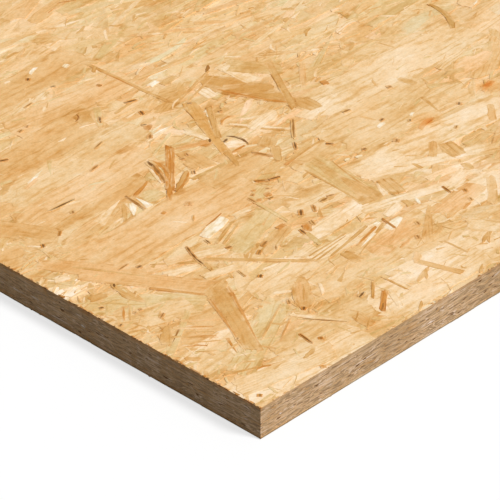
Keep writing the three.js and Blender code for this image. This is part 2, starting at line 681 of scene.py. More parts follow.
def saw(mesh, rung, rng):
    """Trims a mesh of strands to the slab's box, and closes each strand where it was cut.
    Neighbouring cuts lie at clearly different depths, because cuts in one plane would hide
    each other: each piece has its own rung, and its cuts in a row take turns at three depths.
    The parts to cut are kept in dicts, not in sets, whose order changes from run to run."""
    shape = bmesh.new()
    shape.from_mesh(mesh)
    for corner, sign in ((cad_low, -1), (cad_high, 1)):
        for axis in range(3):
            outward = Vector((0, 0, 0))
            outward[axis] = sign
            limit = corner[axis] * sign
            outer = [vert for vert in shape.verts if vert.co[axis] * sign > limit]
            faces = dict.fromkeys(face for vert in outer for face in vert.link_faces)
            edges = dict.fromkeys(edge for face in faces for edge in face.edges)
            verts = dict.fromkeys(vert for face in faces for vert in face.verts)
            cut = bmesh.ops.bisect_plane(shape, geom=[*verts, *edges, *faces], dist=cut_tolerance,
                                         plane_co=corner, plane_no=outward, clear_outer=True)
            rims = [part for part in cut["geom_cut"] if isinstance(part, bmesh.types.BMEdge)]
            rims = [edge for edge in rims if edge.is_valid and edge.is_boundary]
            if rims:
                filled = bmesh.ops.holes_fill(shape, edges=rims, sides=0)["faces"]
                copy_maps(shape, filled)
                filled.sort(key=lambda face: face.calc_center_median()[1 if axis == 0 else 0])
                for number, face in enumerate(filled):
                    face.material_index = 1
                    level = rung + rng.uniform(0, rung_play) + saw_rungs * (number % saw_turns)
                    share = shallowest_cut + (1 - shallowest_cut) * level / (saw_turns * saw_rungs)
                    inward = outward * -share * saw_roughness
                    for vert in face.verts:
                        vert.co += inward
    bmesh.ops.triangulate(shape, faces=[face for face in shape.faces if len(face.verts) > 3])
    shape.to_mesh(mesh)
    shape.free()
    mesh.shade_flat()


def copy_maps(shape, filled):
    """Gives the corners of new faces the map places of the faces beside them."""
    fresh = set(filled)
    for face in filled:
        for loop in face.loops:
            beside = next((other for other in loop.vert.link_loops if other.face not in fresh), None)
            if beside is not None:
                for layer in shape.loops.layers.uv.values():
                    loop[layer].uv = beside[layer].uv


# %% [markdown]
# ## The mat
# The lowest strands seen are wide, pale and lie along the board, because the forming
# machine turns the face strands that way. They are set out on a loose grid, so that they
# cover the board with few holes. Narrower and browner ones lie over them at freer angles,
# and fine splinters lie on top of all.

# %% Random mat
Kind = namedtuple("Kind", "cuts length width turn depth roll tone straw lines rate")
pitch_spread = 0.0015
shade_spread = 0.02
straw_spread = 0.4
splinter_woods = {"brown": 0.12, "rust": 0.10, "amber": 0.22, "tan": 0.30, "cream": 0.26}
arris_length = 120 * MM
arris_width = 26 * MM
arris_gap_x = 70 * MM
arris_gap_y = 14 * MM
arris_inset_x = 30 * MM
arris_inset_y = 6 * MM

# What each layer is like: its shapes, its lengths and widths in mm, the spread of its turns
# in degrees (None is any turn), its depths in mm, the spread of its rolls, its tone and the
# tone's spread, its straw, its faintest lines, and how many lines there are to a millimetre.
mixed = ["board", "taper", "wedge", "curved"]
base = Kind(["board", "board", "taper"], (95, 140), (20, 36), 6, (0.30, 0.62), 0.004,
            (-0.05, 0.32), 0.0, 0.3, (0.12, 0.30))
over = Kind(mixed, (35, 100), (5, 18), 16, (0.22, 0.42), 0.005, (0, 0.45), 0.1, 0.2, (0.15, 0.45))
crossing = Kind(mixed, (25, 85), (3, 13), None, (0.08, 0.26), 0.006, (0.4, 0.5), 0.2, 0.2, (0.2, 0.5))
print("lengths of the layers' strands in mm:", base.length, over.length, crossing.length)


def pick(rng):
    """A number that picks one of the shapes of a kind."""
    return int(rng.integers(most_shapes))


def grid_places(rng, side_size, gap_x, gap_y):
    """Loose grid places that cover a side of the board and a little more."""
    half_x, half_y = side_size[0] / 2 + gap_x / 2, side_size[1] / 2 + gap_y / 2
    for x in np.arange(-half_x, half_x + gap_x, gap_x):
        for y in np.arange(-half_y, half_y + gap_y, gap_y):
            yield x + rng.uniform(-0.5, 0.5) * gap_x, y + rng.uniform(-0.5, 0.5) * gap_y


def mat_strands(rng, kind, gap_x, gap_y):
    """The strands of one layer of the mat."""
    for x, y in grid_places(rng, panel_size.xy, gap_x * MM, gap_y * MM):
        cut, shape = rng.choice(kind.cuts), pick(rng)
        length, width = rng.uniform(*kind.length) * MM, rng.uniform(*kind.width) * MM
        turn = rng.uniform(0, math.pi) if kind.turn is None else rng.normal(0, math.radians(kind.turn))
        depth = rng.uniform(*kind.depth) * MM
        pitch, roll = rng.normal(0, pitch_spread), rng.normal(0, kind.roll)
        tone, shade = rng.normal(*kind.tone), rng.normal(1, shade_spread)
        colour = wood(tone, shade, rng.normal(kind.straw, straw_spread))
        yield Strand(cut, shape, x, y, length, width, turn, depth, pitch, roll, colour,
                     rng.uniform(kind.lines, 1.0), rng.uniform(*kind.rate), rng.uniform(0.5, 1.0))


def splinters(rng, gap_x, gap_y):
    """Fine splinters, on top of all."""
    names, shares = list(splinter_woods), list(splinter_woods.values())
    for x, y in grid_places(rng, panel_size.xy, gap_x * MM, gap_y * MM):
        name = rng.choice(names, p=shares)
        yield Strand("sliver", pick(rng), x, y,
                     rng.uniform(4, 24) * MM, rng.uniform(0.6, 2.4) * MM, rng.normal(0, 0.9),
                     rng.uniform(0.02, 0.08) * MM, 0.0, 0.0, WOODS[name], 0.2, 0.3, 0.8)


def arris_strand(rng, number, x, y, turn_spread, depths):
    """A strand along an arris, where neighbours take turns at four depths."""
    return Strand("board", pick(rng), x, y, arris_length, arris_width, rng.normal(0, turn_spread),
                  (rng.uniform(*depths) + number % 4 * 0.05) * MM, 0.0, 0.0,
                  wood(rng.normal(0, 0.35)), rng.uniform(0.3, 1.0), 0.2, 0.8)


def arris_strands(rng):
    """Strands along the arrises, so that no hole of the mat breaks the outline of the board."""
    half_x, half_y = panel_size.x / 2, panel_size.y / 2
    for sign in (-1, 1):
        for number, x in enumerate(np.arange(-half_x, half_x, arris_gap_x)):
            yield arris_strand(rng, number, x, sign * (half_y - arris_inset_y), 0.02, (0.40, 0.41))
        for number, y in enumerate(np.arange(-half_y, half_y, arris_gap_y)):
            yield arris_strand(rng, number, sign * (half_x - arris_inset_x), y, 0.04, (0.42, 0.43))


def lay_pieces(name, side, strands, parts, rng, *finishes):
    """Shares strands out over several pieces, each as long as the board."""
    for part in range(parts):
        lay(f"{name}_{part + 1}", side, strands[part::parts], part, rng, *finishes)


# %% [markdown]
# ## The broad strands of the near corner
# One corner of the board is seen from close by, so its strands are listed one by one. Each line
# says what the strand is, its shape, where it starts and ends in mm from the corner (first
# along the length, then across), its width in mm and its wood. The order matters: what is
# laid later lies higher. The broad strands come first, as the ground of the corner.

# %% Broad strands
broad_strands = [
    ("far strand", "plank", (96, 348), (205, 356), 32, "toast"),
    ("far pale strand", "plank", (105, 318), (205, 312), 30, "peach"),
    ("far strand with lines", "plank", (56, 286), (158, 292), 36, "toast"),
    ("long strand", "plank", (46, 258), (168, 264), 30, "honey"),
    ("long strand", "plank", (36, 232), (150, 238), 32, "peach"),
    ("strand with the hairpin figure", "plank", (26, 204), (126, 214), 26, "toast"),
    ("right strand with waves", "plank", (252, 199), (404, 200), 38, "wheat"),
    ("right strand", "plank", (232, 173), (330, 172), 26, "honey"),
    ("right strand", "plank", (236, 152), (345, 148), 26, "honey"),
    ("right strand", "plank", (216, 128), (352, 120), 28, "pale"),
    ("right strand", "plank", (190, 66), (300, 60), 26, "pale"),
    ("middle strand", "plank", (104, 58), (214, 62), 30, "honey"),
    ("pale strand at the long edge", "plank", (112, 22), (240, 20), 32, "pale"),
    ("pale strand at the long edge", "plank", (166, 38), (260, 34), 20, "honey"),
    ("pale middle strand", "plank", (78, 82), (142, 86), 22, "wheat"),
    ("pale strand at the corner", "plank", (-8, 16), (98, 8), 32, "pale"),
    ("honey strand at the corner", "plank", (44, 32), (120, 26), 22, "honey"),
    ("honey strand at the short edge", "plank", (-6, 50), (60, 58), 22, "honey"),
    ("pale strip at the short edge", "plank", (-4, 62), (62, 72), 9, "pale"),
    ("ground of the shavings", "plank", (8, 84), (62, 80), 26, "toast"),
    ("strand beside the bent one", "plank", (2, 146), (56, 96), 22, "straw"),
    ("strand at the short edge", "plank", (-2, 118), (48, 100), 22, "honey"),
    ("strand under the curl", "plank", (-6, 214), (32, 208), 22, "toast"),
    ("straw fan", "plank", (15, 31), (86, 68), 18, "straw"),
    ("peach strand with lines", "plank", (26, 171), (170, 173), 44, "peach"),
    ("strand under the tapering one", "plank", (146, 187), (196, 184), 18, "toast"),
    ("tan strip at the short edge", "plank", (20, 250), (44, 208), 19, "toast"),
    ("pale strand across the middle", "plank", (144, 100), (200, 104), 15, "ivory"),
    ("pale field beside it", "plank", (160, 127), (203, 123), 18, "wheat"),
    ("pale strip", "plank", (190, 98), (262, 76), 9, "pale"),
    ("pale strip", "plank", (218, 124), (304, 90), 11, "pale"),
    ("greenish strand", "plank", (104, 122), (152, 138), 17, "straw"),
    ("wide board with an orange rim", "plank", (196, 160), (234, 164), 16, "honey"),
    ("pale patch by the curved one", "plank", (244, 197), (284, 202), 13, "pale"),
]
print("broad strands laid by hand:", len(broad_strands))

# %% [markdown]
# ## The small strands of the near corner
# Narrow strands, splits and curls lie over the broad ones. Where a real strand bends, tapers
# or changes colour, it is put together from a few flat strands that overlap.

# %% Small strands
small_strands = [
    ("ring of the hairpin figure", "leaf", (29, 200), (92, 207), 23, "toast"),
    ("ring of the hairpin figure", "leaf", (33, 200.5), (92, 207), 18, "honey"),
    ("ring of the hairpin figure", "leaf", (38, 201), (88, 207), 13, "toast"),
    ("ring of the hairpin figure", "leaf", (42, 201.5), (88, 207), 9, "peach"),
    ("white slip", "wedge", (72, 264), (90, 271), 4.5, "cream"),
    ("straw slip", "wedge", (100, 276), (88, 262), 4, "straw"),
    ("pale wedge", "wedge", (70, 202), (98, 212), 9, "pale"),
    ("stripe", "board", (98, 209), (83, 192), 3.4, "tan"),
    ("stripe", "board", (103, 206), (90, 192), 3.2, "tan"),
    ("orange slip", "taper", (66, 262), (81, 266), 4, "orange"),
    ("wedge by the stick", "wedge", (100, 205), (91, 193), 8, "cream"),
    ("wedge by the stick", "wedge", (105, 193), (106, 207), 6, "cream"),
    ("block of straw", "board", (108, 202), (122, 200), 14, "straw"),
    ("band over it", "taper", (106, 208), (125, 215), 3.4, "amber"),
    ("stick between the wedges", "board", (100.8, 193), (103, 213), 2.6, "brown"),
    ("wide straw strand", "plank", (211, 160), (205, 101), 20, "straw"),
    ("its darker half", "wedge", (204, 99.5), (212.5, 158), 19.5, "khaki"),
    ("tan foot of it", "wedge", (204, 99.5), (209.5, 136), 19.5, "tan"),
    ("its left rim", "taper", (200.5, 156), (197.5, 104), 2.2, "tan"),
    ("its right rim", "bent", (212, 101), (220, 150), 1.8, "tan"),
    ("pale strip right of it", "board", (213.5, 99), (221, 112), 5, "pale"),
    ("wedge left of it", "wedge", (206, 160), (200, 172), 6, "toast"),
    ("block with stripes", "board", (226, 113), (221, 95), 13, "buff"),
    ("stripe in it", "board", (222, 113), (217, 95), 1.5, "tan"),
    ("stripe in it", "board", (226, 113), (221, 95), 1.5, "tan"),
    ("stripe in it", "board", (230, 111), (226, 95), 1.5, "tan"),
    ("block with stripes", "board", (284, 114), (279, 97), 13, "buff"),
    ("stripe in it", "board", (280, 113), (275, 97), 1.5, "tan"),
    ("stripe in it", "board", (284, 113), (279, 97), 1.5, "tan"),
    ("stripe in it", "board", (288, 111), (284, 97), 1.5, "tan"),
    ("cut block", "shard", (218, 88), (215, 78), 8, "tan"),
    ("cut block", "shard", (275, 90), (272, 80), 8, "tan"),
    ("bright bit", "shard", (224, 85), (221, 77), 3, "cream"),
    ("block by the stripes", "split", (281, 121), (265, 107), 6, "toast"),
    ("block by the stripes", "split", (339, 124), (324, 109), 6, "toast"),
    ("curved strip", "wedge", (316, 161), (309, 139), 4, "tan"),
    ("tail of the curved strip", "taper", (309, 141), (328, 139), 3, "toast"),
    ("cream patch", "split", (245, 77), (271, 84), 9, "pale"),
    ("tan piece", "split", (219, 69), (192, 44), 5, "toast"),
    ("tan piece", "split", (276, 69), (249, 44), 7, "toast"),
    ("orange patch", "split", (160, 62), (206, 66), 20, "orange"),
    ("orange patch", "split", (214, 62), (264, 66), 18, "orange"),
    ("smear in it", "leaf", (234, 55), (244, 57), 2.6, "ginger"),
    ("pale strand at the long edge", "plank", (122, 11), (208, 13), 18, "pale"),
    ("pale strand at the long edge", "plank", (146, 34), (232, 30), 17, "pale"),
    ("block at the waves", "board", (322, 187), (325, 174), 6, "tan"),
    ("mark", "board", (252, 112), (252, 104), 3, "tan"),
    ("block of the knot", "shard", (284, 136), (302, 141), 6, "ginger"),
    ("block of the knot", "shard", (346, 138), (365, 143), 6, "ginger"),
    ("bright bit", "shard", (225, 144), (230, 144), 4, "cream"),
    ("bright bit", "shard", (232, 142), (238, 141), 4, "cream"),
    ("bright bit", "shard", (268, 156), (276, 157), 4, "cream"),
    ("bright bit", "shard", (292, 150), (299, 153), 3, "cream"),
    ("block", "board", (259, 217), (259, 199), 13, "tan"),
    ("big curved patch", "leaf", (234, 279), (256, 214), 25, "bronze"),
    ("big curved patch", "split", (231, 256), (262, 236), 18, "bronze"),
    ("pale strip over it", "plank", (256, 281), (256, 250), 12, "pale"),
    ("dark rim of it", "bent", (253, 216), (231, 266), 3.2, "amber"),
    ("cream block beside it", "board", (225, 270), (224, 256), 10, "ivory"),
    ("olive patch behind it", "split", (256, 280), (279, 246), 17, "khaki"),
    ("strip behind it", "plank", (249, 209), (280, 262), 5.5, "tan"),
    ("pinkish strip behind it", "board", (271, 222), (294, 245), 4.5, "peach"),
    ("edge of the wide board", "taper", (196, 167.5), (232, 171), 3, "tan"),
    ("start of it", "wedge", (196, 167), (206, 168), 3, "ginger"),
    ("blob", "board", (203, 190), (214, 197), 13, "tan"),
    ("blob", "taper", (208, 187), (197, 173), 8, "tan"),
    ("ringed flake", "split", (186, 210), (199, 202), 10, "ivory"),
    ("ring of it", "bent", (195.5, 217), (198, 200), 2.8, "dark"),
    ("ring of it", "board", (184, 201), (196, 201), 2, "amber"),
    ("light strip", "board", (207, 226), (231, 193), 3, "pale"),
    ("thin diagonal", "board", (204, 226), (229, 191), 2, "tan"),
    ("block with grain", "board", (163, 224), (163, 199), 13, "buff"),
    ("block with grain", "board", (156, 214), (156, 203), 6, "toast"),
    ("curl beside the branch", "bent", (203, 228), (217, 230), 3.6, "amber"),
    ("orange blob", "leaf", (175, 223), (184, 217), 6, "amber"),
    ("line with cream", "taper", (175, 245), (147, 233), 3, "straw"),
    ("cream streak", "wedge", (164, 250), (181, 250), 5, "cream"),
    ("cream streak", "wedge", (166, 254), (178, 256), 4, "cream"),
    ("rusty spot", "leaf", (166, 259), (173, 260), 6, "rust"),
    ("white shavings", "shard", (203, 240), (212, 248), 4, "cream"),
    ("white shavings", "shard", (207, 248), (211, 245), 4, "cream"),
    ("white shavings", "shard", (224, 246), (232, 243), 4, "pale"),
    ("far tan piece", "board", (143, 296), (163, 293), 17, "tan"),
    ("mark over the far piece", "bent", (149, 303), (142, 297), 1.6, "brown"),
    ("far tan strip", "taper", (160, 298), (148, 280), 9, "toast"),
    ("far straw piece", "taper", (164, 300), (150, 282), 6, "straw"),
    ("far curl", "bent", (171, 298), (168, 305), 2.5, "tan"),
    ("far line", "taper", (166, 286), (188, 289), 3, "tan"),
    ("long upright line", "board", (197, 344), (200, 270), 3.4, "tan"),
    ("rim of the upright line", "board", (196.5, 330), (198.5, 296), 1.4, "amber"),
    ("head of the upright line", "shard", (192, 332), (199, 337), 3.4, "tan"),
    ("far cream bits", "shard", (182, 350), (190, 352), 5, "cream"),
    ("far cream bits", "shard", (162, 360), (172, 364), 4, "cream"),
    ("line to the right", "board", (206, 268), (246, 281), 2.4, "toast"),
    ("line to the right", "board", (207, 263), (243, 274), 1.8, "toast"),
    ("end of the line", "leaf", (243, 281), (250, 286), 3, "brown"),
    ("far bits", "board", (212, 290), (226, 291), 6, "tan"),
    ("far bits", "split", (204, 294), (214, 296), 5, "cream"),
    ("leaf under the upright", "leaf", (128, 193.5), (150, 206), 7, "tan"),
    ("rim of that leaf", "bent", (150, 205), (129, 194), 2.0, "amber"),
    ("pale streak", "wedge", (156, 247), (184, 250), 5, "pale"),
    ("upright amber strand", "plank", (126, 197), (163, 234), 6.2, "amber"),
    ("core of it", "board", (127, 198), (161.5, 232.5), 3.4, "amber"),
    ("its foot", "board", (118, 189.5), (133, 204), 3.8, "amber"),
    ("amber beside the dark head", "bent", (142, 232), (132, 206), 4.4, "amber"),
    ("cream beside the dark head", "taper", (136.5, 225), (129, 207), 4, "ivory"),
    ("tapering strand, broad head", "taper", (208, 263), (190, 228), 12, "gold"),
    ("cream by the tapering strand", "split", (181, 243), (187, 216), 7, "pale"),
    ("amber streak", "split", (190, 218), (161, 229), 5.5, "ginger"),
    ("tapering strand, neck", "plank", (198, 244), (181, 202), 6.6, "gold"),
    ("tapering strand, foot", "taper", (183, 206), (175, 187), 6, "tan"),
    ("its branch", "plank", (213.5, 250), (190, 218), 4.4, "tan"),
    ("pale patch beside the branch", "split", (212, 212), (240, 216), 12, "pale"),
    ("orange seam of the pale strand", "taper", (160, 94), (178, 95), 1.6, "tan"),
    ("striped strand, cream ground", "plank", (129, 84), (190, 79), 13, "pale"),
    ("striped strand", "taper", (131, 86.5), (166, 88), 1.8, "tan"),
    ("striped strand", "taper", (130, 83), (164, 86), 1.6, "tan"),
    ("striped strand", "taper", (130, 80), (154, 83), 1.8, "tan"),
    ("tongue", "taper", (181, 84.5), (140, 77.5), 3.2, "tan"),
    ("tongue", "taper", (184, 80), (160, 74), 2.6, "amber"),
    ("tongue", "wedge", (190, 79), (150, 65), 3, "tan"),
    ("cream between the tongues", "wedge", (178, 76), (160, 71), 3, "cream"),
    ("cream end", "shard", (183, 82), (189, 82), 4, "cream"),
    ("cream patch", "board", (186, 73), (202, 75), 8, "cream"),
    ("pale patch beside it", "split", (196, 83), (213, 87), 9, "pale"),
    ("orange band", "wedge", (206, 72), (172, 60), 8, "orange"),
    ("patch", "split", (149, 76), (149, 60), 8, "tan"),
    ("tan slant", "taper", (224, 73), (192, 50), 3, "toast"),
    ("smear", "leaf", (176, 54), (188, 56), 3, "ginger"),
    ("tan flake of the dark cluster", "split", (114, 106), (150, 119), 9, "toast"),
    ("stripe in it", "wedge", (120, 106), (148, 118), 1.6, "tan"),
    ("stripe in it", "wedge", (116, 111), (142, 119), 1.6, "tan"),
    ("block", "shard", (151, 106), (158, 112), 7, "amber"),
    ("block", "wedge", (168, 111), (176, 119), 4, "tan"),
    ("dotted flake", "leaf", (179, 123), (194, 122), 5, "tan"),
    ("bright patch", "board", (103, 146), (128, 152.5), 9, "cream"),
    ("ground of the specks", "split", (154, 153), (170, 158), 12, "straw"),
    ("seam over it", "sliver", (112, 153.5), (131, 157.5), 1.6, "rust"),
    ("stripe under it", "board", (103, 135.5), (130, 146.5), 2.6, "tan"),
    ("stripe under it", "taper", (106, 132.5), (131, 142.5), 2.2, "tan"),
    ("upright stick", "board", (153.5, 158), (151, 121), 3.2, "straw"),
    ("upright stick, foot", "board", (150, 106), (146, 90), 4, "straw"),
    ("bright strip by the thin strand", "wedge", (106, 106), (130, 86), 4, "pale"),
    ("long thin strand", "plank", (85, 131), (130, 81), 3.6, "tan"),
    ("thin strand before it", "taper", (83, 128.5), (60, 148.5), 2.6, "tan"),
    ("tan triangle", "wedge", (67, 143), (86, 134), 10, "peach"),
    ("smear", "leaf", (105, 87), (121, 91), 3, "straw"),
    ("stub", "taper", (84.5, 128), (81, 117), 3.6, "tan"),
    ("bright flake", "split", (84, 136), (106, 126), 9, "ivory"),
    ("bright flake", "split", (56, 134), (80, 126), 8, "pale"),
    ("pale patch", "plank", (72, 116), (95, 110), 8, "wheat"),
    ("pale patch", "taper", (82, 77), (124, 72), 8, "honey"),
    ("small strand by the bent one", "leaf", (30, 150), (30, 122), 9, "tan"),
    ("bent strand, first reach", "taper", (50, 140), (14, 197), 19, "apricot"),
    ("bent strand, upper arm", "plank", (24, 172), (71, 101), 15, "apricot"),
    ("rim of the upper arm", "taper", (42, 131), (62, 99), 3.0, "russet"),
    ("streak of the upper arm", "taper", (26, 180), (50, 140), 2.6, "tan"),
    ("bent strand, elbow", "leaf", (58, 97), (79, 104), 13, "buff"),
    ("bent strand, lower arm", "plank", (69, 103), (38, 42), 12.5, "tan"),
    ("left rim of the lower arm", "wedge", (59, 98), (35, 45), 3.4, "russet"),
    ("right rim of the lower arm", "wedge", (76, 100), (43, 41), 3.2, "russet"),
    ("splinter at its foot", "wedge", (37, 62), (30, 47), 2.6, "amber"),
    ("tan patch at the short edge", "taper", (8, 81), (22, 95), 10, "tan"),
    ("long strip at the short edge", "plank", (-3, 70), (42, 98), 4.4, "straw"),
    ("its brown core", "wedge", (26, 89), (10, 80), 1.8, "brown"),
    ("stripe", "board", (8, 117), (18, 128), 1.8, "amber"),
    ("stripe", "board", (11, 115), (21, 126), 1.6, "tan"),
    ("slanted shavings", "wedge", (22, 92), (44, 68), 3, "peach"),
    ("slanted shavings", "wedge", (15, 86), (34, 66), 2.6, "tan"),
    ("slanted shavings", "wedge", (30, 94), (50, 76), 3, "peach"),
    ("slanted shavings", "sliver", (24, 84), (37, 71), 1.2, "tan"),
    ("slanted shavings", "sliver", (22, 79), (35, 67), 1.4, "amber"),
    ("slanted shavings", "sliver", (19, 74), (34, 62), 1.2, "tan"),
    ("slanted shavings", "sliver", (14, 73), (24, 64), 1.4, "amber"),
    ("slanted shavings", "sliver", (14, 66), (25, 57), 1.2, "tan"),
    ("slanted shavings", "sliver", (28, 87), (41, 75), 1.2, "amber"),
    ("tan piece at the short edge", "shard", (4, 66), (12, 58), 5, "toast"),
    ("curl at the short edge", "shard", (13, 206), (20, 208), 6, "tan"),
    ("rim of the curl", "bent", (4, 199), (25, 201), 2.2, "straw"),
    ("rim of the curl", "bent", (24, 214), (24, 196), 2.2, "honey"),
    ("curl at the short edge", "split", (8, 147), (21, 144), 7, "tan"),
    ("tan blob", "leaf", (14, 207), (23, 206), 4, "tan"),
    ("tan blob", "leaf", (13, 149), (22, 160), 5, "tan"),
    ("pale blob", "shard", (14, 178), (20, 174), 4, "pale"),
    ("rim of the curl", "bent", (4, 156), (24, 152), 2.2, "honey"),
    ("rim of the curl", "bent", (3, 138), (22, 134), 2.2, "straw"),
    ("curl at the short edge", "shard", (8, 176), (18, 172), 6, "pale"),
    ("line of the straw fan", "board", (48, 46), (84, 64), 1.6, "buff"),
    ("line of the straw fan", "board", (56, 38), (77, 50), 1.6, "russet"),
    ("pale strip", "board", (79, 53), (99, 22), 4.4, "pale"),
    ("rim of it", "sliver", (80, 46), (98, 22), 1.2, "brown"),
    ("smooth strand at the corner", "plank", (3, 22), (72, 10), 17, "wheat"),
    ("slant at the corner", "wedge", (8, 38), (45, 21), 2.4, "tan"),
    ("brown part of it", "sliver", (25, 28), (35, 24), 1.8, "amber"),
    ("tan end", "leaf", (52, 16), (65, 19), 4, "tan"),
    ("tan block at the long edge", "split", (104, 10), (106, 26), 9, "toast"),
    ("seam in it", "sliver", (98, 9), (111, 18), 1.6, "tan"),
    ("seam in it", "sliver", (101, 21), (110, 27), 1.4, "bronze"),
    ("leaf", "leaf", (89, 50), (113, 75), 14.5, "buff"),
    ("left half of the leaf", "split", (92, 55), (110, 74), 7, "apricot"),
    ("bright rim of the leaf", "shard", (116, 63), (108, 52), 3.4, "pale"),
    ("line in the leaf", "board", (108, 69), (92, 53), 1.3, "bronze"),
    ("bright bit beside the leaf", "shard", (88, 75), (99, 68), 4, "pale"),
    ("smear under the leaf", "leaf", (92, 46), (102, 48), 3, "tan"),
    ("bright stroke", "split", (130, 11), (139, 29), 5, "pale"),
    ("amber stick", "split", (119, 16), (138, 31), 4.4, "amber"),
    ("its core", "wedge", (119, 15.5), (131, 24.5), 3.0, "rust"),
    ("dark line in it", "sliver", (119, 17), (126, 22), 1.4, "brown"),
    ("line over the stick", "board", (138, 41), (125, 29), 2.2, "bronze"),
    ("upright line", "board", (145.5, 40), (146, 21), 1.6, "tan"),
    ("upright line", "board", (200, 40), (200.5, 22), 1.6, "tan"),
    ("slant at the long edge", "plank", (172, 38), (182, 9), 5, "buff"),
    ("head of it", "leaf", (170, 36), (180, 44), 6, "peach"),
    ("smear", "leaf", (156, 22), (173, 28), 4, "toast"),
    ("smear", "leaf", (214, 22), (231, 28), 4, "tan"),
    ("slant", "taper", (229, 43), (237, 27), 5.5, "toast"),
    ("mark", "shard", (155, 35), (161, 31), 3, "straw"),
    ("mark", "shard", (210, 36), (216, 32), 3, "straw"),
    ("short slant at the edge", "leaf", (134, 1), (143, 7), 2.4, "tan"),
    ("short slant at the edge", "leaf", (162, 20), (170, 28), 2.6, "buff"),
    ("short slant at the edge", "leaf", (217, 19), (226, 28), 2.6, "buff"),
    ("pale block at the long edge", "split", (222, 45), (236, 24), 16, "pale"),
    ("short slant at the edge", "leaf", (189, 2), (197, 7), 2.4, "tan"),
]
print("small strands laid by hand:", len(small_strands))
